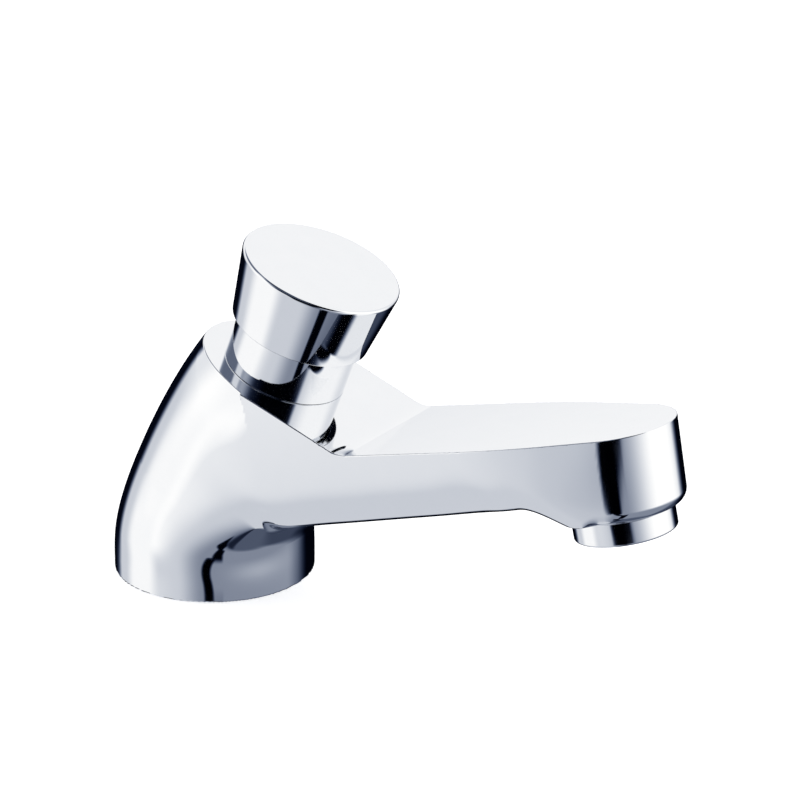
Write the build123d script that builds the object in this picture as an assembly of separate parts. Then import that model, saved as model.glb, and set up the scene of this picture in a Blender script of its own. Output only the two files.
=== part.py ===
from build123d import *
from math import cos, pi, radians, sin, sqrt, tan
import os

# Self-closing push-button basin tap, in millimetres, +Z up.
# The origin is the centre of the base on the deck plane, and the spout points along +X.
# The button axis leaves the origin and leans towards the spout: heights "up the axis" are
# measured along it. Along the spout, t runs forward from the valley where the land meets the
# spout top, and d runs down from the spout top.

# Outer form of the body
base_radius = 25.0
lean = 21.0
land_height = 59.27
land_radius = 20.75
valley = (48.3, 44.93)
valley_radius = 8.0
spout_rise = 13.1
underside_rise = 16.2
throat_centre = (34.0, 12.0)
throat_radius = 9.0
back_curve = ((-25.0, 4.0), (-25.0, 19.0), (-11.5, 47.0), (1.26, 63.0))
edge_radius = 0.6

# Nose and outlet
outlet_along = 60.3
nose_radius = 15.0
nose_flank = 12.0
nose_tilt = 2.2
nose_edge_radius = 4.0
seam_depth = 20.0
outlet_face_depth = 25.5
outlet_radius = 11.94
outlet_thread_radius = 11.0
outlet_shoulder_depth = 14.6
insert_radius = 9.5

# Waterways inside the body
duct_depth = 8.5
duct_width = 24.0
duct_height = 9.0
duct_start = -36.0
duct_end = 68.0
chamber_radius = 8.0
chamber_floor = 11.3
seat_shoulder = 25.0
cartridge_bore_radius = 12.5
collar_bore_radius = 14.05
collar_bore_floor = 46.0
inlet_bore_radius = 8.0
spigot_radius = 10.55
spigot_depth = 6.5

# Button, collar and cartridge, by height up the axis
travel = 6.0
button_bottom = 71.44
button_top = 88.45
button_bottom_radius = 16.85
button_top_radius = 19.45
button_bore_radius = 15.35
button_roof = 85.5
collar_radius = 15.0
collar_top = 77.0
web_bottom = 55.0
web_top = 63.0
spring_cavity_radius = 10.5
spindle_radius = 3.0
spindle_thread_radius = 2.5
sleeve_radius = 12.3
sleeve_bore_radius = 10.3
piston_bottom = 44.0
piston_height = 5.0
seat_lip = 23.5
seat_bore_radius = 4.6
spring_radius = 8.2
wire_radius = 0.6
spring_turns = 6

# Inlet and deck fixing
tail_radius = 10.48
tail_bore_radius = 7.0
tail_end = -50.0
deck_thickness = 10.0
deck_washer_radius = 22.0
nut_width = 27.0
nut_height = 7.0

# Running gap between neighbouring pieces
gap = 0.05


def direction(angle):
    """Unit vector in the XZ plane, angle in degrees from +X towards +Z."""
    return cos(radians(angle)), sin(radians(angle))


def ahead(point, angle, distance):
    """The point moved along a direction in the XZ plane."""
    step = direction(angle)
    return point[0] + distance * step[0], point[1] + distance * step[1]


def blend(share, start, end):
    return start + (end - start) * share


def ease(share):
    share = min(max(share, 0.0), 1.0)
    return share * share * (3 - 2 * share)


def turned(*corners):
    """Solid of revolution about Z from (radius, height) corners."""
    return revolve(Plane.XZ * make_face(Polyline(*corners, close=True)), Axis.Z)


def ring(inner, outer, bottom, top):
    return turned((inner, bottom), (outer, bottom), (outer, top), (inner, top))


def rod(radius, bottom, top):
    return Pos(0, 0, bottom) * Cylinder(radius, top - bottom, align=(Align.CENTER, Align.CENTER, Align.MIN))


def o_ring(radius, section_radius, height):
    return Pos(0, 0, height) * Torus(radius, section_radius)


def hex_prism(width, bottom, top):
    outline = RegularPolygon(width / 2, 6, major_radius=False)
    return extrude(Pos(0, 0, bottom) * outline, top - bottom)


def honeycomb(radius, cell_width, pitch, bottom, top):
    """Round disc pierced by hexagonal cells."""
    disc = Circle(radius)
    for column in range(-4, 5):
        for row in range(-4, 5):
            x = pitch * (column + row / 2)
            y = pitch * row * sqrt(3) / 2
            if sqrt(x * x + y * y) + cell_width * 0.58 < radius - 0.5:
                disc -= Pos(x, y) * RegularPolygon(cell_width / 2, 6, major_radius=False, rotation=30)
    return extrude(Pos(0, 0, bottom) * disc, top - bottom)


leaning = Rot(0, lean, 0)
top_plane = Plane(
    origin=(valley[0], 0, valley[1]),
    x_dir=(direction(spout_rise)[0], 0, direction(spout_rise)[1]),
    z_dir=(direction(spout_rise + 90)[0], 0, direction(spout_rise + 90)[1]),
)
outlet_frame = top_plane * Pos(outlet_along, 0, 0)


# Body skin: one loft that climbs the base, turns about the throat and runs out along the spout
def back_reach(angle):
    """Distance from the throat centre to the back of the body along a direction."""
    curve = Bezier(*back_curve)
    points = [Vector(-base_radius, 0)] + [curve.position_at(k / 60) for k in range(61)]
    points.append(points[-1] + Vector(*direction(50)) * 60)
    ray = Edge.make_line(throat_centre, ahead(throat_centre, angle, 200))
    for start, end in zip(points, points[1:]):
        hit = ray.intersect(Edge.make_line(start, end))
        if hit:
            return (Vector(*throat_centre) - hit.vertices()[0].center()).length
    raise ValueError("no back profile in that direction")


def section(inner, angle, length, half_width, inner_round, power, outer_round):
    """Closed section: superelliptic inner end, straight sides and elliptic outer end."""
    right = []
    for k in range(9):
        turn = pi / 2 * k / 8
        along = inner_round * (1 - max(cos(turn), 0) ** (2 / power))
        right.append((along, half_width * sin(turn) ** (2 / power)))
    for k in range(7):
        turn = pi / 2 * (1 - k / 6)
        if k == 0 and length - outer_round - inner_round < 0.5:
            continue
        right.append((length - outer_round + outer_round * cos(turn), half_width * sin(turn)))
    left = [(along, -across) for along, across in reversed(right[1:-1])]
    points = []
    for along, across in right + left:
        x, z = ahead(inner, angle, along)
        points.append(Vector(x, across, z))
    return Face(Wire([Edge.make_spline(points, periodic=True)]))


def base_section(height):
    return section((base_radius, height), 180, 2 * base_radius, base_radius, base_radius, 2.0, base_radius)


def turning_section(angle):
    """Section of the part that turns from the upright base to the spout."""
    last = 90 + underside_rise
    share = (angle - last) / (180 - last)
    widening = max(share - 0.1, 0) ** 1.3 / 0.9**1.3
    half_width = blend(widening, land_radius, base_radius) - 0.3 * (1 - share) ** 3
    outer_round = half_width / cos(radians(angle - 180 + lean * (1 - share) ** 0.6))
    inner = ahead(throat_centre, angle, throat_radius)
    length = back_reach(angle) - throat_radius
    power = blend(share**0.8, 4.5, 2.0)
    return section(inner, angle, length, half_width, blend(share**0.8, 14, 25), power, outer_round)


def spout_half_width(t):
    """Half the width: nearly straight sides that curve in until they run along the nose's flanks."""
    if t < 28:
        return 20.39 - 0.0185 * (t + 20)
    if t < 53.4:
        return 19.5 - 0.004 * (t - 28) ** 2
    return 16.92 - 0.203 * (t - 53.4)


def spout_section(along):
    """Section across the spout, at a distance along its underside."""
    square = 90 + underside_rise
    x, z = ahead(ahead(throat_centre, square, throat_radius), underside_rise, along)
    forward = direction(spout_rise)
    t = (x - valley[0]) * forward[0] + (z - valley[1]) * forward[1]
    drop = 9.0 * ease((t - 42.0) / 20)
    near_base = along < 12
    length = (48 if near_base else 34) + drop
    inner = ahead((x, z), square, -drop)
    inner_round = 14 if along < 60 else 12
    return section(inner, square, length, spout_half_width(t), inner_round, 4.5, 20 if near_base else 8)


def body_skin():
    sections = [base_section(height) for height in (0.0, 6.0)]
    sections += [turning_section(angle) for angle in (180, 162, 142, 122, 90 + underside_rise)]
    stations = (9, 18, 30, 42, 52, 59, 64, 69, 74, 79, 84, 90, 97, 104)
    sections += [spout_section(along) for along in stations]
    return loft(sections)


def above_tops():
    """Everything above the land and the spout top, with the valley between them rounded."""
    back = ahead(valley, 180 - lean, 90)
    front = ahead(valley, spout_rise, 90)
    profile = make_face(Polyline(back, valley, front, (front[0], 160), (back[0], 160), close=True))
    corner = profile.vertices().sort_by_distance(Vector(*valley))[0]
    return extrude(Plane.XZ * fillet(corner, valley_radius), 40, both=True)


def nose_prism():
    """Plan outline of the body with the round nose, carried down along the nose's own slant."""
    above = 40.0
    slant = tan(radians(nose_tilt))
    centre_t = outlet_along + seam_depth * slant
    touch_t = centre_t + nose_radius * sin(radians(nose_flank))
    touch_y = nose_radius * cos(radians(nose_flank))
    wide_t = 20.0
    wide_y = touch_y + (touch_t - wide_t) * tan(radians(nose_flank))
    side = [(touch_t, touch_y), (wide_t, wide_y), (wide_t, 45), (-95, 45)]
    far_side = [(t, -y) for t, y in reversed(side)]
    outline = Polyline(*side, *far_side)
    tip = ThreePointArc((touch_t, -touch_y), (centre_t + nose_radius, 0), (touch_t, touch_y))
    start = top_plane * Pos(above * slant, 0, above)
    down = top_plane.x_dir * -slant - top_plane.z_dir
    return extrude(start * make_face([outline, tip]), above + 70, dir=down)


def spout_place(point):
    """The t and d of a point."""
    forward = direction(spout_rise)
    x, z = point.X - valley[0], point.Z - valley[1]
    return x * forward[0] + z * forward[1], x * forward[1] - z * forward[0]


def round_nose_edge(body):
    """Rounds the arc edge between the round nose and the outlet seam."""
    nose = [f for f in body.faces() if f.geom_type == GeomType.EXTRUSION and spout_place(f.center())[0] > 60]
    low = [e for f in nose for e in f.edges() if spout_place(e.center())[1] > seam_depth - 0.01]
    return fillet(low, nose_edge_radius)


def round_top_edges(body):
    """Rounds the rim round the land, the valley and the spout top."""
    tops = []
    for face in body.faces():
        flat = face.geom_type == GeomType.PLANE and face.area > 1200 and face.center().Z > 40
        rounded = face.geom_type == GeomType.CYLINDER and abs(face.center().X - valley[0]) < 2
        if flat or rounded:
            tops.append(face)
    edges = [edge for face in tops for edge in face.edges()]

    def uses(edge):
        return sum((edge.center() - other.center()).length < 1e-3 for other in edges)

    return fillet([edge for edge in edges if uses(edge) == 1], edge_radius)


def waterways():
    """Bores and ducts cut in the body."""
    cartridge = rod(cartridge_bore_radius, seat_shoulder, land_height + 5)
    cartridge += rod(collar_bore_radius, collar_bore_floor, land_height + 5)
    cartridge += rod(chamber_radius, chamber_floor, seat_shoulder + 1)
    duct_section = Pos(0, -duct_depth) * SlotOverall(duct_width, duct_height)
    across = Plane(top_plane.origin, x_dir=(0, 1, 0), z_dir=top_plane.x_dir)
    duct = extrude(across * Pos(0, 0, duct_start) * duct_section, duct_end - duct_start)
    outlet = rod(outlet_thread_radius + gap, -seam_depth - 5, -outlet_shoulder_depth)
    outlet += rod(8.8, -seam_depth, -duct_depth)
    inlet = rod(inlet_bore_radius, -1, 15) + rod(spigot_radius, -1, spigot_depth)
    groove = ring(19.0, 23.0, -1, 2.0)
    return [leaning * cartridge, duct, outlet_frame * outlet, inlet, groove]


def make_tap_body():
    body = body_skin() - above_tops()
    below_seam = Pos(outlet_along + 15, 0, -seam_depth - 20) * Box(60, 60, 40)
    body = (body - top_plane * below_seam) & nose_prism()
    body = round_top_edges(round_nose_edge(body))
    for cut in waterways():
        body -= cut
    return body


# Collar and button
def make_neck_collar():
    cavity_floor = collar_bore_floor + 0.1
    collar = turned(
        (sleeve_radius + 0.1, cavity_floor),
        (collar_bore_radius - gap, cavity_floor),
        (collar_bore_radius - gap, 56.6),
        (12.8, 56.6),
        (12.8, 58.2),
        (collar_bore_radius - gap, 58.2),
        (collar_bore_radius - gap, land_height + gap),
        (collar_radius, land_height + gap),
        (collar_radius, collar_top - 1),
        (collar_radius - 1, collar_top),
        (spring_cavity_radius, collar_top),
        (spring_cavity_radius, web_top),
        (spindle_radius + 0.2, web_top),
        (spindle_radius + 0.2, 59.8),
        (4.45, 59.8),
        (4.45, 58.3),
        (spindle_radius + 0.2, 58.3),
        (spindle_radius + 0.2, web_bottom),
        (sleeve_radius + 0.1, web_bottom),
    )
    for turn in (0, 90):
        collar -= Rot(0, 0, turn) * Pos(0, 0, collar_top) * Box(3, 40, 4)
    return leaning * collar


def make_push_button():
    cup = turned(
        (0, button_roof),
        (button_bore_radius - 1, button_roof),
        (button_bore_radius, button_roof - 1),
        (button_bore_radius, button_bottom),
        (button_bottom_radius, button_bottom),
        (button_top_radius, button_top),
        (0, button_top),
    )
    rim = cup.edges().filter_by(GeomType.CIRCLE).filter_by(lambda e: e.radius > button_bottom_radius - 0.1)
    cup = fillet(rim.sort_by(Axis.Z)[-1], 0.8)
    cup = chamfer(cup.edges().filter_by(GeomType.CIRCLE).sort_by(lambda e: (e.center().Z, -e.radius))[0], 0.3)
    boss = ring(spindle_radius + gap, 6.0, 78.0, button_roof + 0.5)
    return leaning * (cup + boss)


# Cartridge
def make_cartridge_sleeve():
    bottom = 29.0 + gap
    sleeve = ring(sleeve_bore_radius, sleeve_radius, bottom, web_bottom - 0.1)
    sleeve -= ring(11.1, sleeve_radius + 1, 43.6, 45.2)
    for turn in (0, 60, 120):
        sleeve -= Rot(0, 0, turn + 30) * Pos(0, 0, 34.25) * Box(40, 6.5, 6.5)
    return leaning * sleeve


def make_spindle():
    top = button_roof - 1
    shaft = rod(spindle_radius, seat_lip, top) + rod(spindle_thread_radius, 14.6, seat_lip + 1)
    for height in (piston_bottom - 1.1, piston_bottom + piston_height + 0.1):
        shaft -= ring(2.3, spindle_radius + 1, height - gap, height + 1.0 + gap)
    shaft = chamfer(shaft.edges().group_by(Axis.Z)[0], 0.5)
    return leaning * shaft


def make_piston():
    top = piston_bottom + piston_height
    piston = turned(
        (spindle_radius + gap, piston_bottom),
        (9.3, piston_bottom),
        (9.8, piston_bottom + 0.5),
        (9.8, piston_bottom + 1.4),
        (7.5, piston_bottom + 1.4),
        (7.5, top - 1.0),
        (9.8, top - 1.0),
        (9.8, top - 0.5),
        (9.3, top),
        (spindle_radius + gap, top),
    )
    piston -= Pos(5.4, 0, piston_bottom + 2.5) * Cylinder(0.5, 8)
    return leaning * piston


def make_piston_lip_seal():
    low, high = piston_bottom + 1.45, piston_bottom + piston_height - 1.05
    seal = turned(
        (7.55, low),
        (9.3, low),
        (10.15, high - 0.4),
        (10.0, high),
        (9.5, high),
        (8.9, low + 0.9),
        (8.5, low + 0.9),
        (8.2, high),
        (7.55, high),
    )
    return leaning * seal


def make_piston_clip():
    """Two spring clips, one below and one above the piston."""
    clips = []
    for height in (piston_bottom - 1.1, piston_bottom + piston_height + 0.1):
        clip = ring(2.35, 5.2, height, height + 1.0)
        clip -= Pos(4, 0, height) * Box(8, 4.2, 4)
        clips.append(leaning * clip)
    return Compound(children=clips)


def make_valve_washer():
    return leaning * ring(spindle_thread_radius + gap, 6.8, 20.3, seat_lip - gap)


def make_washer_cup():
    cup = turned(
        (spindle_thread_radius + gap, 17.8),
        (6.9, 17.8),
        (7.5, 18.4),
        (7.5, 22.0),
        (6.85, 22.0),
        (6.85, 20.25),
        (spindle_thread_radius + gap, 20.25),
    )
    return leaning * cup


def make_spindle_nut():
    nut = hex_prism(7.0, 15.3, 17.75) - rod(spindle_thread_radius + gap, 15, 18)
    return leaning * nut


def make_valve_seat():
    seat = turned(
        (seat_bore_radius, seat_lip),
        (seat_bore_radius + 0.9, seat_lip),
        (7.0, 25.0),
        (7.0, 26.0),
        (sleeve_radius, 26.0),
        (sleeve_radius, 29.0),
        (seat_bore_radius + 1.4, 29.0),
        (seat_bore_radius, 27.6),
    )
    return leaning * seat


def make_return_spring():
    low = web_top + 1.1 + wire_radius
    high = button_roof - 0.1 - wire_radius
    helix = Helix((high - low) / spring_turns, high - low, spring_radius)
    wire = sweep(Plane(helix @ 0, z_dir=helix % 0) * Circle(wire_radius), path=helix, is_frenet=True)
    return leaning * Pos(0, 0, low) * wire


# Outlet, drawn with z upwards from the spout top along the outlet axis
def make_outlet_ring():
    shell = turned(
        (insert_radius + 0.1, -outlet_face_depth + 1.2),
        (8.7, -outlet_face_depth + 1.2),
        (8.7, -outlet_face_depth + 0.3),
        (9.0, -outlet_face_depth),
        (outlet_radius - 0.5, -outlet_face_depth),
        (outlet_radius, -outlet_face_depth + 0.5),
        (outlet_radius, -seam_depth - gap - 0.2),
        (outlet_radius - 0.2, -seam_depth - gap),
        (outlet_thread_radius, -seam_depth - gap),
        (outlet_thread_radius, -16.0),
        (insert_radius + 0.1, -16.0),
    )
    return outlet_frame * shell


def make_flow_straightener():
    return outlet_frame * honeycomb(insert_radius, 2.1, 2.55, -outlet_face_depth + 1.25, -16.9)


def make_outlet_screen():
    return outlet_frame * honeycomb(insert_radius, 1.5, 2.2, -16.8, -16.3)


def make_outlet_washer():
    return outlet_frame * ring(8.9, outlet_thread_radius - gap, -15.95, -outlet_shoulder_depth - gap)


# Inlet and deck fixing
def make_inlet_tail():
    top = spigot_depth - 1.3
    tail = turned(
        (tail_bore_radius, tail_end),
        (tail_radius - 0.8, tail_end),
        (tail_radius, tail_end + 0.8),
        (tail_radius, tail_end + 26.0),
        (tail_radius - 0.6, tail_end + 26.0),
        (tail_radius - 0.6, tail_end + 27.0),
        (tail_radius, tail_end + 27.0),
        (tail_radius, top),
        (tail_bore_radius, top),
    )
    return tail


def make_back_nut():
    top = -deck_thickness - 3.6
    nut = hex_prism(nut_width, top - nut_height, top) - rod(spigot_radius, top - nut_height - 1, top + 1)
    blank = turned((0, top), (12.8, top), (15.8, top - 1.7), (15.8, top - nut_height), (0, top - nut_height))
    return nut & blank


def make_inlet_strainer():
    bottom = tail_end + 0.5
    wall = ring(6.1, tail_bore_radius - 0.1, bottom, bottom + 7.0)
    return wall + honeycomb(tail_bore_radius - 0.1, 1.5, 2.2, bottom + 6.2, bottom + 7.0)


pieces = {
    "tap_body": make_tap_body,
    "neck_collar": make_neck_collar,
    "push_button": make_push_button,
    "cartridge_sleeve": make_cartridge_sleeve,
    "cartridge_o_ring": lambda: leaning * o_ring(11.79, 0.67, 44.4),
    "collar_o_ring": lambda: leaning * o_ring(13.48, 0.55, 57.4),
    "spindle": make_spindle,
    "spindle_o_ring": lambda: leaning * o_ring(3.77, 0.65, 59.05),
    "piston": make_piston,
    "piston_lip_seal": make_piston_lip_seal,
    "piston_clip": make_piston_clip,
    "valve_washer": make_valve_washer,
    "washer_cup": make_washer_cup,
    "spindle_nut": make_spindle_nut,
    "valve_seat": make_valve_seat,
    "seat_gasket": lambda: leaning * ring(8.1, sleeve_radius, seat_shoulder + gap, 26.0 - gap),
    "return_spring": make_return_spring,
    "spring_washer": lambda: leaning * ring(3.3, 10.3, web_top + gap, web_top + 1.05),
    "outlet_ring": make_outlet_ring,
    "flow_straightener": make_flow_straightener,
    "outlet_screen": make_outlet_screen,
    "outlet_washer": make_outlet_washer,
    "inlet_tail": make_inlet_tail,
    "tail_seal": lambda: ring(8.1, tail_radius - 0.1, spigot_depth - 1.25, spigot_depth - gap),
    "base_gasket": lambda: ring(19.0 + gap, 23.0 - gap, 0, 2.0 - gap),
    "deck_washer_rubber": lambda: ring(10.7, deck_washer_radius, -deck_thickness - 2, -deck_thickness),
    "deck_washer_steel": lambda: ring(10.7, deck_washer_radius - 1, -deck_thickness - 3.55, -deck_thickness - 2.05),
    "back_nut": make_back_nut,
    "inlet_strainer": make_inlet_strainer,
}

os.makedirs("parts", exist_ok=True)
for name, make in pieces.items():
    export_step(make(), f"parts/{name}.step")
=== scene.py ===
import math

import bmesh
import bpy
import numpy as np
from mathutils import Matrix, Vector


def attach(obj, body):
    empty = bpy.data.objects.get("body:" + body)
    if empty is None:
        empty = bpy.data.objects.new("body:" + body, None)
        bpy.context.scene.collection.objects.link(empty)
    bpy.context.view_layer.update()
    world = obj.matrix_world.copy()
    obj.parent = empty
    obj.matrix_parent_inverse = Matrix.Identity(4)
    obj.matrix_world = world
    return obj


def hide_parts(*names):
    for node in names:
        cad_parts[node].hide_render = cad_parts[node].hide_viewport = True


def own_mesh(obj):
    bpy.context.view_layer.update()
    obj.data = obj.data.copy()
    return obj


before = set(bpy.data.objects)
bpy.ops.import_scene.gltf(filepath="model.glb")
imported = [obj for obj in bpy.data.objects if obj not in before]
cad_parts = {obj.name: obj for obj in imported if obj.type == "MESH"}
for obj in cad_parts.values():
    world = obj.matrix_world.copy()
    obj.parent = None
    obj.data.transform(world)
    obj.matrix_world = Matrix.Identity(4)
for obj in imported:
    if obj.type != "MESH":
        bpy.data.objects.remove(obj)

# Blender's own start objects go
for start_name in ("Cube", "Light", "Camera"):
    if start_name in bpy.data.objects:
        bpy.data.objects.remove(bpy.data.objects[start_name])
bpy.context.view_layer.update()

# Shape code works in millimetres and the scene is in metres
MM = 0.001

# Outer form of the body, as in the solids. Angles are in degrees.
BASE_RADIUS = 25.0
LEAN = 21.0
LAND_HEIGHT = 59.27
VALLEY = (48.3, 44.93)
VALLEY_RADIUS = 8.0
SPOUT_RISE = 13.1
UNDERSIDE_RISE = 16.2
THROAT_CENTRE = (34.0, 12.0)
THROAT_RADIUS = 9.0
BACK_CURVE = ((-25.0, 4.0), (-25.0, 19.0), (-11.5, 47.0), (1.26, 63.0))
OUTLET_ALONG = 60.3
NOSE_RADIUS = 15.0
NOSE_FLANK = 12.0
NOSE_TILT = 2.2
SEAM_DEPTH = 20.0

# Underside of the nose: where along the spout top it starts to drop, over what length, and how far
DROP_START, DROP_LENGTH, UNDER_DROP = 42.0, 20.0, 9.0

# Along the spout top, where the outlet seam starts, and where the nose's bottom edge turns round
SEAM_START = 44.0
EDGE_START, EDGE_LENGTH = 54.0, 8.0

# How softly the nose runs into the flanks of the spout
NOSE_BLEND = 0.3

# Roundness of the nose's bottom edge, of the rim round the tops, and of the outlet seam
NOSE_EDGE = 3.0
RIM_EDGE = 0.22
UNDER_EDGE = 0.6

# Sections of the body: half width and corner roundness of the spout, and how square its corners are
SPOUT_HALF = 20.75
SPOUT_UNDER_ROUND = 14.0
SPOUT_TOP_ROUND = 33.8
NOSE_UNDER_ROUND = 12.0
ROUND_POWER, SQUARE_POWER = 2.0, 4.5

# Axis of the button
AXIS = np.array([math.sin(math.radians(LEAN)), 0.0, math.cos(math.radians(LEAN))])


def direction(angle):
    """Unit vector in the XZ plane, angle in degrees from +X towards +Z."""
    return math.cos(math.radians(angle)), math.sin(math.radians(angle))


def ease(share):
    """Smooth step from 0 to 1."""
    share = np.clip(share, 0.0, 1.0)
    return share * share * (3 - 2 * share)


def natural_spline(xs, ys):
    """Smooth curve through the points, as a function."""
    xs = np.array(xs, float)
    ys = np.array(ys, float)
    step = np.diff(xs)
    slope = np.diff(ys) / step
    count = len(xs)
    system = np.eye(count)
    right = np.zeros(count)
    for i in range(1, count - 1):
        system[i, i - 1:i + 2] = step[i - 1], 2 * (step[i - 1] + step[i]), step[i]
        right[i] = 6 * (slope[i] - slope[i - 1])
    bend = np.linalg.solve(system, right)

    def curve(x):
        x = np.clip(x, xs[0], xs[-1])
        i = np.clip(np.searchsorted(xs, x) - 1, 0, count - 2)
        a, b, h = xs[i + 1] - x, x - xs[i], step[i]
        cubic = (bend[i] * a**3 + bend[i + 1] * b**3) / (6 * h)
        return cubic + (ys[i] / h - bend[i] * h / 6) * a + (ys[i + 1] / h - bend[i + 1] * h / 6) * b

    return curve


def spout_place(x, z):
    """How far forward of the valley along the spout top, and how deep below it."""
    forward = direction(SPOUT_RISE)
    x, z = x - VALLEY[0], z - VALLEY[1]
    return x * forward[0] + z * forward[1], x * forward[1] - z * forward[0]


def spout_half_width(t):
    """Half the spout's width at a distance along its top: straight, then bowed in, then straight."""
    if t < 28:
        return 20.39 - 0.0185 * (t + 20)
    if t < 53.4:
        return 19.5 - 0.0040 * (t - 28) ** 2
    return 16.92 - 0.203 * (t - 53.4)


# Where the turn round the throat ends, and its length in the measure along the body
END_ANGLE = 90 + UNDERSIDE_RISE
TURN_SCALE = 30.0
TURN_LENGTH = math.radians(180 - END_ANGLE) * TURN_SCALE


def section_curves():
    """Half width, power, inner and outer roundness along the base, round the throat and along the spout."""
    rows = [(place, BASE_RADIUS, ROUND_POWER, BASE_RADIUS, BASE_RADIUS) for place in (-20, -12, -6)]
    for angle in (180, 162, 142, 122, END_ANGLE):
        share = (angle - END_ANGLE) / (180 - END_ANGLE)
        widening = max(share - 0.1, 0) ** 1.3 / 0.9**1.3
        half = SPOUT_HALF + (BASE_RADIUS - SPOUT_HALF) * widening - 0.3 * (1 - share) ** 3
        power = SQUARE_POWER - (SQUARE_POWER - ROUND_POWER) * share**0.8
        inner_round = SPOUT_UNDER_ROUND + (BASE_RADIUS - SPOUT_UNDER_ROUND) * share**0.8
        outer_round = half / math.cos(math.radians(angle - 180 + LEAN * (1 - share) ** 0.6))
        rows.append((math.radians(180 - angle) * TURN_SCALE, half, power, inner_round, outer_round))
    start = (THROAT_CENTRE[0] + THROAT_RADIUS * direction(END_ANGLE)[0],
             THROAT_CENTRE[1] + THROAT_RADIUS * direction(END_ANGLE)[1])
    slope = direction(UNDERSIDE_RISE)
    for along in (*range(9, 54, 9), *range(56, 110, 4)):
        t = spout_place(start[0] + along * slope[0], start[1] + along * slope[1])[0]
        under_round = SPOUT_UNDER_ROUND if along < 57 else NOSE_UNDER_ROUND
        rows.append((TURN_LENGTH + along, spout_half_width(t), SQUARE_POWER, under_round, SPOUT_TOP_ROUND))
    table = np.array(rows).T
    return [natural_spline(table[0], table[k]) for k in range(1, 5)]


HALF, POWER, INNER_ROUND, OUTER_ROUND = section_curves()


def back_profile():
    """Back of the body as angle and reach from the throat centre, and as x against z."""
    s = np.linspace(0, 1, 400)[:, None]
    p = [np.array(q)[None, :] for q in BACK_CURVE]
    curve = (1 - s)**3 * p[0] + 3 * (1 - s)**2 * s * p[1] + 3 * (1 - s) * s**2 * p[2] + s**3 * p[3]
    tail = curve[-1] + np.linspace(1, 60, 60)[:, None] * np.array(direction(50))[None, :]
    curve = np.vstack([[[-BASE_RADIUS, -5.0], [-BASE_RADIUS, 0.0]], curve, tail])
    rel = curve - np.array(THROAT_CENTRE)[None, :]
    angle = np.degrees(np.arctan2(rel[:, 1], rel[:, 0])) % 360
    return angle, np.hypot(rel[:, 0], rel[:, 1]), curve


BACK_ANGLE, BACK_REACH, BACK_POINTS = back_profile()


def skin_field(x, y, z):
    """Signed distance, near the surface, from the outer skin before its tops and nose are cut."""
    rx, rz = x - THROAT_CENTRE[0], z - THROAT_CENTRE[1]
    angle = np.degrees(np.arctan2(rz, rx)) % 360
    base = z < THROAT_CENTRE[1]
    spout = ~base & (angle < END_ANGLE)
    slope = direction(UNDERSIDE_RISE)
    across = direction(END_ANGLE)
    along = rx * slope[0] + rz * slope[1]
    lift = rx * across[0] + rz * across[1]
    radius = np.hypot(rx, rz)
    v = np.where(base, rz, np.where(spout, TURN_LENGTH + along, np.radians(180 - angle) * TURN_SCALE))
    foot_x = THROAT_CENTRE[0] + THROAT_RADIUS * across[0] + along * slope[0]
    foot_z = THROAT_CENTRE[1] + THROAT_RADIUS * across[1] + along * slope[1]
    drop = UNDER_DROP * ease((spout_place(foot_x, foot_z)[0] - DROP_START) / DROP_LENGTH)
    rise = np.where(base, -rx, np.where(spout, lift + drop, radius)) - THROAT_RADIUS
    reach = np.interp(angle, BACK_ANGLE[::-1], BACK_REACH[::-1])
    back_x = np.interp(z, BACK_POINTS[:, 1], BACK_POINTS[:, 0])
    length = np.where(base, BASE_RADIUS - back_x, np.where(spout, 200.0, reach - THROAT_RADIUS))
    half, power, inner = HALF(v), POWER(v), INNER_ROUND(v)
    outer = np.minimum(OUTER_ROUND(v), length - inner)
    low = np.maximum((inner - rise) / inner, 0)
    high = np.maximum((rise - (length - outer)) / outer, 0)
    side = np.abs(y) / half
    tiny = 1e-9
    norm_in = (low**power + side**power + tiny) ** (1 / power)
    norm_out = np.sqrt(high**2 + side**2 + tiny)
    grad_in = np.hypot((low / norm_in)**(power - 1) / inner, (side / norm_in)**(power - 1) / half)
    grad_out = np.hypot(high / norm_out / outer, side / norm_out / half)
    use_out = high > 0
    norm = np.where(use_out, norm_out, norm_in)
    grad = np.where(use_out, grad_out, grad_in)
    return (norm - 1) / np.maximum(grad, 1 / 30.0)


def top_field(x, z):
    """Signed distance from the land and spout top, with the valley between them rounded."""
    land = x * AXIS[0] + z * AXIS[2] - LAND_HEIGHT
    depth = spout_place(x, z)[1]
    half_angle = math.radians((LEAN + SPOUT_RISE) / 2)
    up = direction(90 + (SPOUT_RISE - LEAN) / 2)
    centre = (VALLEY[0] + up[0] * VALLEY_RADIUS / math.cos(half_angle),
              VALLEY[1] + up[1] * VALLEY_RADIUS / math.cos(half_angle))
    qx, qz = x - centre[0], z - centre[1]
    down = -(qx * up[0] + qz * up[1])
    sideways = qx * up[1] - qz * up[0]
    in_arc = np.abs(sideways) < down * math.tan(half_angle)
    flat = np.where(sideways < 0, land, -depth)
    return np.where(in_arc, VALLEY_RADIUS - np.hypot(qx, qz), flat)


def plan_field(t, depth, y):
    """Signed distance from the plan outline of the nose, which slants forward towards its top."""
    flank = math.radians(NOSE_FLANK)
    slant = (SEAM_DEPTH - depth) * math.tan(math.radians(NOSE_TILT))
    rt = t - OUTLET_ALONG - slant
    ry = np.abs(y)
    round_part = rt * math.cos(flank) - ry * math.sin(flank) > 0
    return np.where(round_part, np.hypot(rt, ry), rt * math.sin(flank) + ry * math.cos(flank)) - NOSE_RADIUS


def meet(a, b, radius):
    """Both shapes at once, with the edge between them rounded."""
    corner = np.hypot(np.maximum(a + radius, 0), np.maximum(b + radius, 0))
    return np.minimum(np.maximum(a, b), -radius) + corner


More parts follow.
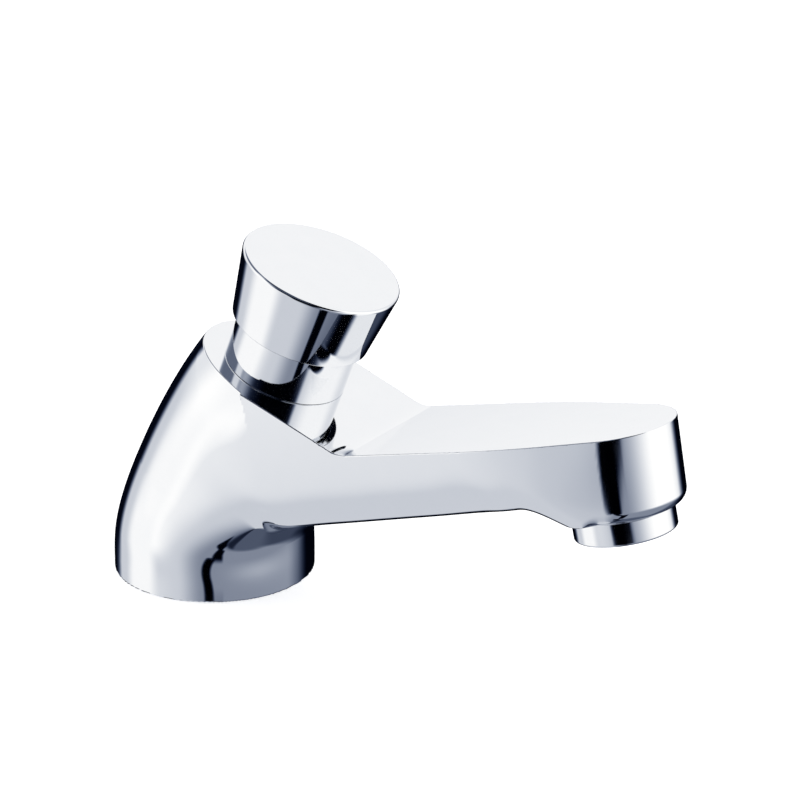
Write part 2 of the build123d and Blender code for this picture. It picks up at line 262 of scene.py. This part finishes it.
def soft_meet(a, b, width):
    """Both shapes at once, eased together where they nearly touch."""
    h = np.maximum(width - np.abs(a - b), 0) / width
    return np.maximum(a, b) + h * h * width / 4


def rod_field(points, origin, axis, radius, low, high):
    """Signed distance from a rod along an axis, between two heights."""
    rel = points - origin
    height = rel @ axis
    away = np.linalg.norm(rel - height[:, None] * axis, axis=1)
    return np.maximum(away - radius, np.maximum(low - height, height - high))


FAR_INSIDE = -50.0


def outer_field(points):
    """Signed distance of the casting's outside, with its edges rounded."""
    x, y, z = points.T
    t, depth = spout_place(x, z)
    skin = skin_field(x, y, z)
    seam = np.where(t > SEAM_START, depth - SEAM_DEPTH, FAR_INSIDE)
    nose = meet(plan_field(t, depth, y), seam, 0.01 + NOSE_EDGE * ease((t - EDGE_START) / EDGE_LENGTH))
    body = soft_meet(skin, nose, NOSE_BLEND)
    body = meet(body, seam, UNDER_EDGE)
    return meet(body, top_field(x, z), RIM_EDGE)


ORIGIN = np.zeros(3)
UPRIGHT = np.array([0.0, 0.0, 1.0])
OUTLET_AXIS = np.array([direction(SPOUT_RISE + 90)[0], 0.0, direction(SPOUT_RISE + 90)[1]])
OUTLET_TOP = np.array([VALLEY[0] + OUTLET_ALONG * direction(SPOUT_RISE)[0], 0.0,
                       VALLEY[1] + OUTLET_ALONG * direction(SPOUT_RISE)[1]])

# Bores of the casting: where each one's axis starts and points, its radius, and its two ends
BORES = {
    "collar_seat": (ORIGIN, AXIS, 14.05, 46.0, 70.0),
    "cartridge": (ORIGIN, AXIS, 12.5, 25.0, 50.0),
    "duct": (ORIGIN, AXIS, 8.0, 11.3, 30.0),
    "inlet": (ORIGIN, UPRIGHT, 8.0, -5.0, 15.0),
    "tail_socket": (ORIGIN, UPRIGHT, 10.55, -5.0, 6.5),
    "ring_socket": (OUTLET_TOP, OUTLET_AXIS, 11.05, -30.0, -14.6),
    "outlet": (OUTLET_TOP, OUTLET_AXIS, 8.8, -30.0, -8.5),
}

# Groove under the base that holds the gasket: its middle radius, half width and depth
GROOVE_RADIUS, GROOVE_HALF, GROOVE_DEPTH = 21.0, 2.0, 2.0


def body_field(points):
    """Signed distance of the whole casting, with its open bores."""
    field = np.maximum(outer_field(points), -points[:, 2])
    for bore in BORES.values():
        field = np.maximum(field, -rod_field(points, *bore))
    away = np.hypot(points[:, 0], points[:, 1])
    groove = np.maximum(np.abs(away - GROOVE_RADIUS) - GROOVE_HALF, points[:, 2] - GROOVE_DEPTH)
    return np.maximum(field, -groove)


def gradient(field, points, step=0.02):
    """Slope of a field at points."""
    grad = np.empty_like(points)
    for k in range(3):
        shift = np.zeros(3)
        shift[k] = step
        grad[:, k] = (field(points + shift) - field(points - shift)) / (2 * step)
    return grad


# The grid is worked through in parts, to save memory
GRID_PARTS = 24


def surface_net(field, low, high, cell):
    """Quad mesh of the zero surface of a field, one vertex in each cell that the surface crosses."""
    axes = [np.arange(low[k], high[k] + cell, cell) for k in range(3)]
    shape = tuple(len(a) for a in axes)
    grid = np.stack(np.meshgrid(*axes, indexing="ij"), axis=-1).reshape(-1, 3)
    values = np.concatenate([field(part) for part in np.array_split(grid, GRID_PARTS)]).reshape(shape)
    inside = values < 0
    corners = [inside[i:shape[0] - 1 + i, j:shape[1] - 1 + j, k:shape[2] - 1 + k]
               for i in (0, 1) for j in (0, 1) for k in (0, 1)]
    count = sum(c.astype(np.int8) for c in corners)
    crossed = (count > 0) & (count < 8)
    number = np.full(crossed.shape, -1, np.int64)
    number[crossed] = np.arange(crossed.sum())
    total = np.zeros((crossed.sum(), 3))
    hits = np.zeros(crossed.sum())
    quads = []
    for axis in range(3):
        near = [slice(None)] * 3
        far = [slice(None)] * 3
        near[axis], far[axis] = slice(0, -1), slice(1, None)
        a, b = values[tuple(near)], values[tuple(far)]
        edges = np.argwhere((a < 0) != (b < 0))
        u, w = [k for k in range(3) if k != axis]
        keep = np.all((edges[:, [u, w]] > 0) & (edges[:, [u, w]] < np.array(shape)[[u, w]] - 1), axis=1)
        edges = edges[keep]
        a, b = a[tuple(edges.T)], b[tuple(edges.T)]
        point = np.stack([axes[k][edges[:, k]] for k in range(3)], axis=1)
        point[:, axis] += cell * a / (a - b)
        around = []
        for du, dw in ((-1, -1), (0, -1), (0, 0), (-1, 0)):
            cell_index = edges.copy()
            cell_index[:, u] += du
            cell_index[:, w] += dw
            ids = number[tuple(cell_index.T)]
            np.add.at(total, ids, point)
            np.add.at(hits, ids, 1)
            around.append(ids)
        quad = np.stack(around, axis=1)
        flip = (a > 0) if axis != 1 else (a < 0)
        quad[flip] = quad[flip][:, ::-1]
        quads.append(quad)
    return total / hits[:, None], np.vstack(quads)


def settle(field, points, cell, rounds=6):
    """Moves points onto the zero surface."""
    for _ in range(rounds):
        grad = gradient(field, points)
        size = np.maximum((grad**2).sum(1), 0.05)
        move = -field(points)[:, None] * grad / size[:, None]
        length = np.linalg.norm(move, axis=1)
        move *= np.minimum(1, 0.5 * cell / np.maximum(length, 1e-9))[:, None]
        points = points + move
    return points


def placed(name, data):
    """New object in the scene, from its data."""
    made = bpy.data.objects.new(name, data)
    bpy.context.scene.collection.objects.link(made)
    return made


def mesh_object(name, points, faces, material, normals=None):
    """Smooth-shaded object from points in millimetres."""
    mesh = bpy.data.meshes.new(name)
    mesh.from_pydata((np.asarray(points) * MM).tolist(), [], [list(map(int, f)) for f in faces])
    mesh.validate()
    mesh.shade_smooth()
    if normals is not None:
        mesh.normals_split_custom_set_from_vertices([tuple(n) for n in normals])
    mesh.materials.append(material)
    return placed(name, mesh)


# Grid spacing of the casting's mesh, how often it is divided near the rim, and the box it fills
CELL = 0.6
RIM_CUTS = 3
LOW_CORNER = np.array([-26.03, -26.11, -1.07])
HIGH_CORNER = np.array([127.1, 26.2, 65.3])


def rim_distance(points):
    """How far points are from the rim round the land and the spout top."""
    x, y, z = points.T
    t, depth = spout_place(x, z)
    skin = np.maximum(skin_field(x, y, z), plan_field(t, depth, y))
    return np.maximum(np.abs(skin), np.abs(top_field(x, z)))


def refine(points, quads, reach, cuts):
    """Divides the faces near the rim more finely."""
    work = bmesh.new()
    made = [work.verts.new(p) for p in points]
    for quad in quads:
        work.faces.new([made[k] for k in quad])
    near = rim_distance(points) < reach
    work.verts.index_update()
    edges = [e for e in work.edges if near[e.verts[0].index] and near[e.verts[1].index]]
    bmesh.ops.subdivide_edges(work, edges=edges, cuts=cuts, use_grid_fill=True)
    work.verts.index_update()
    points = np.array([v.co for v in work.verts])
    faces = [[v.index for v in face.verts] for face in work.faces]
    work.free()
    return points, faces


def make_casting(material):
    points, quads = surface_net(body_field, LOW_CORNER, HIGH_CORNER, CELL)
    points = settle(body_field, points, CELL)
    points, quads = refine(points, quads, 2 * CELL, RIM_CUTS)
    points = settle(body_field, points, CELL / (RIM_CUTS + 1))
    normals = gradient(body_field, points)
    normals /= np.maximum(np.linalg.norm(normals, axis=1), 1e-9)[:, None]
    return mesh_object("body_casting", points, quads, material, normals)


# Turned pieces: how many steps a fillet and a full turn have
FILLET_STEPS = 8
TURN_STEPS = 160


def rounded_profile(corners):
    """Closed outline from (radius, height, fillet) corners, as segments with a normal at each end."""
    count = len(corners)
    flat = [np.array(c[:2], float) for c in corners]
    stops = []
    for i in range(count):
        here, before, after = flat[i], flat[i - 1], flat[(i + 1) % count]
        into = (here - before) / np.linalg.norm(here - before)
        out = (after - here) / np.linalg.norm(after - here)
        normal_in = np.array([into[1], -into[0]])
        normal_out = np.array([out[1], -out[0]])
        fillet = corners[i][2]
        if fillet <= 0:
            stops.append([(here, normal_in), (here, normal_out)])
            continue
        turn = math.acos(np.clip(into @ out, -1, 1))
        trim = fillet * math.tan(turn / 2)
        side = 1.0 if into[0] * out[1] - into[1] * out[0] > 0 else -1.0
        centre = here - into * trim - side * fillet * normal_in
        arc = []
        for share in np.linspace(0, 1, FILLET_STEPS + 1):
            normal = normal_in * math.sin((1 - share) * turn) + normal_out * math.sin(share * turn)
            normal /= math.sin(turn)
            arc.append((centre + side * fillet * normal, normal))
        stops.append(arc)
    segments = []
    for i in range(count):
        run = stops[i]
        if len(run) > 2:
            segments += [(a, b) for a, b in zip(run, run[1:])]
        segments.append((run[-1], stops[(i + 1) % count][0]))
    return [(a, b) for a, b in segments if np.linalg.norm(a[0] - b[0]) > 1e-6]


def lathe(name, corners, material, place):
    """Solid turned about the Z axis of a place, with exact normals. Corners run up the outside."""
    segments = rounded_profile(corners)
    turns = np.linspace(0, 2 * math.pi, TURN_STEPS, endpoint=False)
    ring = np.stack([np.cos(turns), np.sin(turns)], axis=1)
    points = []
    index = []
    for (start, _), _ in segments:
        if start[0] < 1e-6:
            index.append([len(points)] * TURN_STEPS)
            points.append((0.0, 0.0, start[1]))
        else:
            index.append(list(range(len(points), len(points) + TURN_STEPS)))
            points += [(start[0] * c, start[0] * s, start[1]) for c, s in ring]
    faces = []
    normals = []
    for i, ((start, n0), (end, n1)) in enumerate(segments):
        low, high = index[i], index[(i + 1) % len(segments)]
        if start[0] < 1e-6 and end[0] < 1e-6:
            continue
        for k in range(TURN_STEPS):
            m = (k + 1) % TURN_STEPS
            loop = [(low[k], n0, k), (low[m], n0, m), (high[m], n1, m), (high[k], n1, k)]
            if low[k] == low[m]:
                loop.pop(1)
            elif high[k] == high[m]:
                loop.pop(3)
            faces.append([v for v, _, _ in loop])
            normals += [(n[0] * ring[j][0], n[0] * ring[j][1], n[1]) for _, n, j in loop]
    mesh = bpy.data.meshes.new(name)
    mesh.from_pydata((np.array(points) * MM).tolist(), [], faces)
    mesh.shade_smooth()
    mesh.normals_split_custom_set(normals)
    mesh.transform(place)
    mesh.materials.append(material)
    return placed(name, mesh)


LEANING = Matrix.Rotation(math.radians(LEAN), 4, "Y")
OUTLET_TURN = Matrix.Rotation(math.radians(-SPOUT_RISE), 4, "Y")
OUTLET_PLACE = Matrix.Translation(Vector(OUTLET_TOP * MM)) @ OUTLET_TURN

# Button: its foot, crown and the roof of its bore along the axis, its radii, and the boss inside
BUTTON_FOOT, BUTTON_CROWN, BUTTON_ROOF = 71.44, 88.45, 85.5
BUTTON_FOOT_RADIUS, BUTTON_CROWN_RADIUS, BUTTON_BORE = 16.85, 19.45, 15.35
BOSS_FOOT, BOSS_RADIUS, BOSS_BORE, BOSS_ROOF = 78.0, 6.0, 3.05, 84.5


def make_button(material):
    corners = [(BOSS_RADIUS, BOSS_FOOT, 0.4), (BOSS_RADIUS, BUTTON_ROOF, 0.0),
               (BUTTON_BORE - 1.0, BUTTON_ROOF, 0.0), (BUTTON_BORE, BUTTON_ROOF - 1.0, 0.0),
               (BUTTON_BORE, BUTTON_FOOT, 0.25), (BUTTON_FOOT_RADIUS, BUTTON_FOOT, 0.25),
               (BUTTON_CROWN_RADIUS, BUTTON_CROWN, 0.75), (0.0, BUTTON_CROWN, 0.0),
               (0.0, BOSS_ROOF, 0.0), (BOSS_BORE, BOSS_ROOF, 0.0), (BOSS_BORE, BOSS_FOOT, 0.0)]
    return lathe("button_cup", corners, material, LEANING)


# Collar: its foot, shoulder and top along the axis, its radii, and the web round the spindle
COLLAR_FOOT, COLLAR_SHOULDER, COLLAR_TOP = 46.1, 59.32, 77.0
COLLAR_FOOT_RADIUS, COLLAR_RADIUS = 14.0, 15.0
COLLAR_FOOT_BORE, COLLAR_TOP_BORE, SPINDLE_BORE = 12.4, 10.5, 3.2
WEB_LOW, WEB_HIGH = 55.0, 63.0


def make_collar(material):
    corners = [(COLLAR_FOOT_BORE, COLLAR_FOOT, 0.0), (COLLAR_FOOT_RADIUS, COLLAR_FOOT, 0.0),
               (COLLAR_FOOT_RADIUS, COLLAR_SHOULDER, 0.0), (COLLAR_RADIUS, COLLAR_SHOULDER, 0.2),
               (COLLAR_RADIUS, COLLAR_TOP, 0.6), (COLLAR_TOP_BORE, COLLAR_TOP, 0.4),
               (COLLAR_TOP_BORE, WEB_HIGH, 0.0), (SPINDLE_BORE, WEB_HIGH, 0.0),
               (SPINDLE_BORE, WEB_LOW, 0.0), (COLLAR_FOOT_BORE, WEB_LOW, 0.0)]
    return lathe("collar_sleeve", corners, material, LEANING)


# Outlet ring, measured from the spout's top: its foot, shoulder and top, its radii, and its lip
RING_FOOT, RING_SHOULDER, RING_TOP = -25.5, -20.05, -16.0
RING_RADIUS, RING_NECK, RING_BORE = 11.94, 11.0, 9.6
LIP_BORE, LIP_TOP = 8.7, -24.3


def make_outlet_ring(material):
    corners = [(RING_BORE, LIP_TOP, 0.0), (LIP_BORE, LIP_TOP, 0.1),
               (LIP_BORE, RING_FOOT, 0.3), (RING_RADIUS, RING_FOOT, 0.5),
               (RING_RADIUS, RING_SHOULDER, 0.2), (RING_NECK, RING_SHOULDER, 0.0),
               (RING_NECK, RING_TOP, 0.0), (RING_BORE, RING_TOP, 0.0)]
    return lathe("outlet_cup", corners, material, OUTLET_PLACE)


# Return spring, wound round the cartridge inside the button
SPRING_LOW, SPRING_HIGH = 64.1, 85.4
SPRING_RADIUS, SPRING_WIRE, SPRING_TURNS = 8.2, 0.6, 6
FLAT_TURN = 0.85


def make_spring(material):
    """Wire wound about the button's axis, closed at both ends, its end turns flatter than the rest."""
    along = 64 * SPRING_TURNS
    around = 14
    share = np.linspace(0, 1, along + 1)
    turned = share * (SPRING_TURNS + 2)
    rise = np.clip((turned - FLAT_TURN) / (SPRING_TURNS + 0.3), 0, 1)
    reach = SPRING_HIGH - SPRING_LOW - 2 * SPRING_WIRE
    flat_rise = 2.1 * SPRING_WIRE
    lift = np.minimum(turned, FLAT_TURN) / FLAT_TURN * flat_rise
    close = np.maximum(turned - (SPRING_TURNS + 1.15), 0) / FLAT_TURN * flat_rise
    height = SPRING_LOW + SPRING_WIRE + lift + close + rise * (reach - 2 * flat_rise)
    angle = 2 * math.pi * turned
    line = np.stack([SPRING_RADIUS * np.cos(angle), SPRING_RADIUS * np.sin(angle), height], axis=1)
    ahead = np.gradient(line, axis=0)
    ahead /= np.linalg.norm(ahead, axis=1)[:, None]
    outward = np.stack([np.cos(angle), np.sin(angle), np.zeros(len(angle))], axis=1)
    side = np.cross(ahead, outward)
    side /= np.linalg.norm(side, axis=1)[:, None]
    outward = np.cross(side, ahead)
    points = []
    for k in range(around):
        turn = 2 * math.pi * k / around
        points.append(line + SPRING_WIRE * (math.cos(turn) * outward + math.sin(turn) * side))
    points = np.stack(points, axis=1).reshape(-1, 3)
    faces = []
    for i in range(along):
        for k in range(around):
            m = (k + 1) % around
            faces.append((i * around + k, i * around + m, (i + 1) * around + m, (i + 1) * around + k))
    faces.append(list(range(around - 1, -1, -1)))
    faces.append([along * around + k for k in range(around)])
    lean = np.array(LEANING.to_3x3())
    return mesh_object("return_coil", points @ lean.T, faces, material)


# Materials
def nodes_of(material):
    """Node tree of a material and its shader."""
    material.use_nodes = True
    tree = material.node_tree
    return tree, tree.nodes["Principled BSDF"]


def add(tree, kind, **values):
    """New node with values for its inputs, or else for its settings."""
    node = tree.nodes.new(kind)
    for key, value in values.items():
        if key in node.inputs:
            node.inputs[key].default_value = value
        else:
            setattr(node, key, value)
    return node


def noise_over(tree, scale, detail, stretch):
    """Noise over the object's own coordinates."""
    place = add(tree, "ShaderNodeTexCoord")
    mapping = add(tree, "ShaderNodeMapping", Scale=stretch)
    tree.links.new(place.outputs["Object"], mapping.inputs["Vector"])
    noise = add(tree, "ShaderNodeTexNoise", Scale=scale, Detail=detail)
    tree.links.new(mapping.outputs["Vector"], noise.inputs["Vector"])
    return noise.outputs["Fac"]


def spread(tree, factor, low, high):
    """The middle of the noise mapped to a range."""
    node = add(tree, "ShaderNodeMapRange")
    for name, number in (("From Min", 0.3), ("From Max", 0.7), ("To Min", low), ("To Max", high)):
        node.inputs[name].default_value = number
    tree.links.new(factor, node.inputs["Value"])
    return node.outputs["Result"]


def tinted(tree, factor, dark, light):
    """Colour between a dark and a light one."""
    mix = add(tree, "ShaderNodeMix")
    mix.data_type = "RGBA"
    mix.inputs[6].default_value = (*dark, 1)
    mix.inputs[7].default_value = (*light, 1)
    tree.links.new(factor, mix.inputs[0])
    return mix.outputs[2]


def surface(name, dark, light, metallic, rough, scale, relief=None, stretch=(1, 1, 1)):
    """Finish with its colour, roughness and fine relief driven by noise. Relief is its depth and scale."""
    material = bpy.data.materials.new(name)
    tree, shader = nodes_of(material)
    shader.inputs["Metallic"].default_value = metallic
    noise = noise_over(tree, scale, 4.0, stretch)
    tree.links.new(spread(tree, noise, *rough), shader.inputs["Roughness"])
    tree.links.new(tinted(tree, noise, dark, light), shader.inputs["Base Color"])
    if relief:
        lift = add(tree, "ShaderNodeBump", Strength=0.5, Distance=relief[0])
        tree.links.new(noise_over(tree, relief[1], 6.0, stretch), lift.inputs["Height"])
        tree.links.new(lift.outputs["Normal"], shader.inputs["Normal"])
    return material


chrome = surface("chrome_plate", (0.845, 0.86, 0.885), (0.875, 0.885, 0.905), 1.0, (0.03, 0.055), 180.0)

casting = make_casting(chrome)
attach(casting, "tap")
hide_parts("tap_body")

button = make_button(chrome)
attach(button, "button")
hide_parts("push_button")

collar = make_collar(chrome)
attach(collar, "tap")
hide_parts("neck_collar")

outlet = make_outlet_ring(chrome)
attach(outlet, "tap")
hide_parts("outlet_ring")


# Finishes of the pieces kept from the solids
def finish_nodes(material, *names):
    for name in names:
        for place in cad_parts[name].material_slots:
            place.material = material


brass = surface("turned_brass", (0.52, 0.34, 0.12), (0.72, 0.52, 0.24), 1.0, (0.2, 0.38), 60.0,
                (0.00003, 500.0), (1, 1, 12))
steel = surface("drawn_steel", (0.42, 0.43, 0.44), (0.62, 0.62, 0.61), 1.0, (0.22, 0.4), 90.0,
                (0.00002, 700.0), (1, 1, 8))
zinc = surface("zinc_plated_steel", (0.5, 0.52, 0.55), (0.7, 0.72, 0.73), 1.0, (0.3, 0.5), 70.0,
               (0.00003, 400.0))
rubber = surface("black_rubber", (0.012, 0.012, 0.013), (0.03, 0.03, 0.032), 0.0, (0.55, 0.75), 120.0,
                 (0.00005, 900.0))
grey_rubber = surface("grey_rubber", (0.09, 0.09, 0.095), (0.15, 0.15, 0.155), 0.0, (0.5, 0.7), 110.0,
                      (0.00005, 800.0))
plastic = surface("white_plastic", (0.62, 0.63, 0.62), (0.74, 0.75, 0.74), 0.0, (0.35, 0.5), 80.0,
                  (0.00002, 600.0))

coil = make_spring(steel)
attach(coil, "tap")
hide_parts("return_spring")
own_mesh(coil)

finish_nodes(brass, "cartridge_sleeve", "spindle", "piston", "washer_cup", "spindle_nut",
             "valve_seat", "inlet_tail", "back_nut")
finish_nodes(steel, "piston_clip", "spring_washer", "outlet_screen")
finish_nodes(zinc, "deck_washer_steel")
finish_nodes(rubber, "cartridge_o_ring", "collar_o_ring", "spindle_o_ring", "piston_lip_seal",
             "valve_washer", "outlet_washer", "tail_seal")
finish_nodes(grey_rubber, "seat_gasket", "base_gasket", "deck_washer_rubber")
finish_nodes(plastic, "flow_straightener", "inlet_strainer")

# The chrome mirrors nothing of what is under the deck
for hidden in ("inlet_tail", "tail_seal", "deck_washer_rubber", "deck_washer_steel", "back_nut",
               "inlet_strainer"):
    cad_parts[hidden].visible_glossy = False


# Studio: brightness of each direction round the object, as soft panels laid over one another.
# Brightness is as it looks in the picture. Contrast, level and the powers turn it into light.
SURROUND = 0.52
STUDIO_CONTRAST = 2.2
STUDIO_LEVEL = 1.15
RED_POWER, BLUE_POWER = 1.09, 0.82

# Each panel has its middle azimuth, half width, lowest and highest elevation, softness of its
# sides and of its ends in degrees, its brightness, and its lean per degree of elevation.
PANELS = (
    ("pale_table_left", -168, 84, -95, 95, 16, 9, 0.79, 0),
    ("dark_table_right", 80, 32, -95, -18, 14, 9, 0.26, 0),
    ("shade_under_right", 22, 88, -95, -63, 16, 7, 0.33, 0),
    ("white_wall_right", 22, 48, -19, 95, 34, 8, 1.01, 0),
    ("back_wall", 125, 62, 4.4, 95, 30, 5, 0.95, 0),
    ("black_flag_behind", 112, 47, -36, -5, 12, 6, 0.04, 0),
    ("black_flag_low", 134, 26, -56, -30, 8, 5, 0.04, 0),
    ("black_flag_back_left", -208, 12, -24, 14, 8, 6, 0.055, 0),
    ("dark_ceiling_front", -78, 56, 10, 95, 4, 3, 0.02, 0),
    ("dim_ceiling_front", -84, 52, 36, 95, 10, 10, 0.3, 0),
    ("softbox_left", -139, 27, -21, 44, 18, 8, 1.0, 0),
    ("softbox_foot", -150, 20, -37, 0, 9, 6, 0.97, 0),
    ("dark_ceiling_right", -26, 17, 22, 95, 8, 6, 0.024, 0.3),
    ("dim_ceiling_left", -184, 50, 44, 95, 12, 6, 0.41, 0),
    ("dark_zenith", 0, 181, 81, 95, 1, 5, 0.024, 0),
    ("light_strip_left", -141, 11, 42, 62, 5, 5, 0.86, 0),
    ("camera_screen", -76, 14.5, -17, 20, 3, 1.5, 0.016, 0),
    ("camera_hood", -61, 11.5, -9, 20, 3, 1.5, 0.016, 0),
    ("camera_hood_slant", -77, 8, -14, -8, 3, 1.5, 0.016, 4),
    ("camera_gap", -59, 5, -29, -16, 2, 2, 0.016, -0.9),
    ("camera_stand", -52.5, 6, -57, -27, 2, 3, 0.03, 0),
    ("camera_stand_foot", -60, 8, -66, -54, 2, 2, 0.03, 0),
    ("camera_base", -46, 14, -95, -66, 8, 3, 0.13, 0),
)


def build_studio():
    """World that the chrome mirrors. The camera sees plain white."""
    world = bpy.data.worlds.new("studio")
    bpy.context.scene.world = world
    world.use_nodes = True
    tree = world.node_tree
    tree.nodes.clear()

    def math_node(operation, *inputs):
        node = add(tree, "ShaderNodeMath", operation=operation)
        for place, value in enumerate(inputs):
            if isinstance(value, (int, float)):
                node.inputs[place].default_value = value
            else:
                tree.links.new(value, node.inputs[place])
        return node.outputs[0]

    def fade(value, start, end, before, after):
        node = add(tree, "ShaderNodeMapRange", interpolation_type="SMOOTHSTEP")
        tree.links.new(value, node.inputs["Value"])
        for name, number in (("From Min", start), ("From Max", end), ("To Min", before), ("To Max", after)):
            node.inputs[name].default_value = number
        return node.outputs["Result"]

    place = add(tree, "ShaderNodeTexCoord")
    parts = add(tree, "ShaderNodeSeparateXYZ")
    tree.links.new(place.outputs["Generated"], parts.inputs[0])
    azimuth = math_node("DEGREES", math_node("ARCTAN2", parts.outputs["Y"], parts.outputs["X"]))
    elevation = math_node("DEGREES", math_node("ARCSINE", parts.outputs["Z"]))
    level = SURROUND
    for name, middle, half, low, high, side, end, bright, lean in PANELS:
        turned = azimuth
        if lean:
            shift = math_node("MULTIPLY", math_node("ADD", elevation, -low), lean)
            turned = math_node("SUBTRACT", azimuth, shift)
        away = math_node("ABSOLUTE", math_node("WRAP", math_node("SUBTRACT", turned, middle), 180, -180))
        mask = fade(away, half - side, half + side, 1.0, 0.0)
        if low > -90:
            mask = math_node("MULTIPLY", mask, fade(elevation, low - end, low + end, 0.0, 1.0))
        if high < 90:
            mask = math_node("MULTIPLY", mask, fade(elevation, high - end, high + end, 1.0, 0.0))
        mix = add(tree, "ShaderNodeMix", data_type="FLOAT")
        tree.links.new(mask, mix.inputs[0])
        if isinstance(level, float):
            mix.inputs[2].default_value = level
        else:
            tree.links.new(level, mix.inputs[2])
        mix.inputs[3].default_value = bright
        level = mix.outputs[0]
    linear = math_node("MULTIPLY", math_node("POWER", level, STUDIO_CONTRAST), STUDIO_LEVEL)
    colour = add(tree, "ShaderNodeCombineColor")
    tree.links.new(math_node("POWER", linear, RED_POWER), colour.inputs[0])
    tree.links.new(linear, colour.inputs[1])
    tree.links.new(math_node("POWER", linear, BLUE_POWER), colour.inputs[2])
    lit = add(tree, "ShaderNodeBackground")
    tree.links.new(colour.outputs[0], lit.inputs["Color"])
    plain = add(tree, "ShaderNodeBackground", Color=(1.0, 1.0, 1.0, 1.0))
    path = add(tree, "ShaderNodeLightPath")
    both = add(tree, "ShaderNodeMixShader")
    tree.links.new(path.outputs["Is Camera Ray"], both.inputs[0])
    tree.links.new(lit.outputs[0], both.inputs[1])
    tree.links.new(plain.outputs[0], both.inputs[2])
    final = add(tree, "ShaderNodeOutputWorld")
    tree.links.new(both.outputs[0], final.inputs["Surface"])


build_studio()


# Floor at the height of the deck that the tap stands on, open where the tail goes through
FLOOR_HEIGHT = -0.0001
FLOOR_RINGS = (0.017, 0.5, 8.0)
FLOOR_STEPS = 96


def make_floor():
    turns = np.linspace(0, 2 * math.pi, FLOOR_STEPS, endpoint=False)
    points = [(r * math.cos(a), r * math.sin(a), FLOOR_HEIGHT) for r in FLOOR_RINGS for a in turns]
    faces = []
    for inner in range(0, (len(FLOOR_RINGS) - 1) * FLOOR_STEPS, FLOOR_STEPS):
        outer = inner + FLOOR_STEPS
        for k in range(FLOOR_STEPS):
            m = (k + 1) % FLOOR_STEPS
            faces.append((inner + k, outer + k, outer + m, inner + m))
    mesh = bpy.data.meshes.new("floor")
    mesh.from_pydata(points, [], faces)
    floor = placed("floor", mesh)
    floor.visible_glossy = False
    paper = bpy.data.materials.new("pale_floor")
    tree, shader = nodes_of(paper)
    shader.inputs["Base Color"].default_value = (0.8, 0.8, 0.805, 1)
    shader.inputs["Roughness"].default_value = 0.9
    shader.inputs["Specular IOR Level"].default_value = 0.0
    shader.inputs["Emission Color"].default_value = (1.0, 1.0, 1.0, 1)
    shader.inputs["Emission Strength"].default_value = 0.72
    mesh.materials.append(paper)


make_floor()


LIGHT_TARGET = Vector((0.05, 0.0, 0.03))


def soft_light(name, spot, size, power):
    """Area light aimed at the tap. It lights the floor and the dull pieces and isn't mirrored."""
    lamp = bpy.data.lights.new(name, "AREA")
    lamp.shape = "DISK"
    lamp.size = size
    lamp.energy = power
    holder = placed(name, lamp)
    holder.location = spot
    aim = LIGHT_TARGET - Vector(spot)
    holder.rotation_euler = aim.to_track_quat("-Z", "Y").to_euler()
    holder.visible_glossy = False


soft_light("overhead", (0.2, 0.1, 1.6), 2.2, 8.0)
soft_light("left_fill", (-1.1, -0.9, 0.9), 1.4, 2.5)


# Camera at the photograph's angle, with its focal length in widths of the picture
AZIMUTH = math.radians(30.325)
ELEVATION = math.radians(20.024)
ROLL = math.radians(0.704)
CAMERA_DISTANCE = 0.6002
CAMERA_TARGET = Vector((0.053205, 0.0, 0.053517))
FOCAL_WIDTHS = 3.204375
SENSOR_WIDTH = 36.0


def place_camera():
    back = Vector((math.sin(AZIMUTH) * math.cos(ELEVATION),
                   -math.cos(AZIMUTH) * math.cos(ELEVATION),
                   math.sin(ELEVATION)))
    right = Vector((math.cos(AZIMUTH), math.sin(AZIMUTH), 0.0))
    up = back.cross(right)
    rolled_right = right * math.cos(ROLL) + up * math.sin(ROLL)
    rolled_up = up * math.cos(ROLL) - right * math.sin(ROLL)
    spot = CAMERA_TARGET + back * CAMERA_DISTANCE
    camera_data = bpy.data.cameras.new("camera")
    camera_data.sensor_width = SENSOR_WIDTH
    camera_data.lens = FOCAL_WIDTHS * SENSOR_WIDTH
    camera_data.clip_end = 20.0
    camera = placed("camera", camera_data)
    camera.matrix_world = Matrix((
        (rolled_right.x, rolled_up.x, back.x, spot.x),
        (rolled_right.y, rolled_up.y, back.y, spot.y),
        (rolled_right.z, rolled_up.z, back.z, spot.z),
        (0, 0, 0, 1),
    ))
    bpy.context.scene.camera = camera


place_camera()
bpy.context.scene.view_settings.view_transform = "Standard"
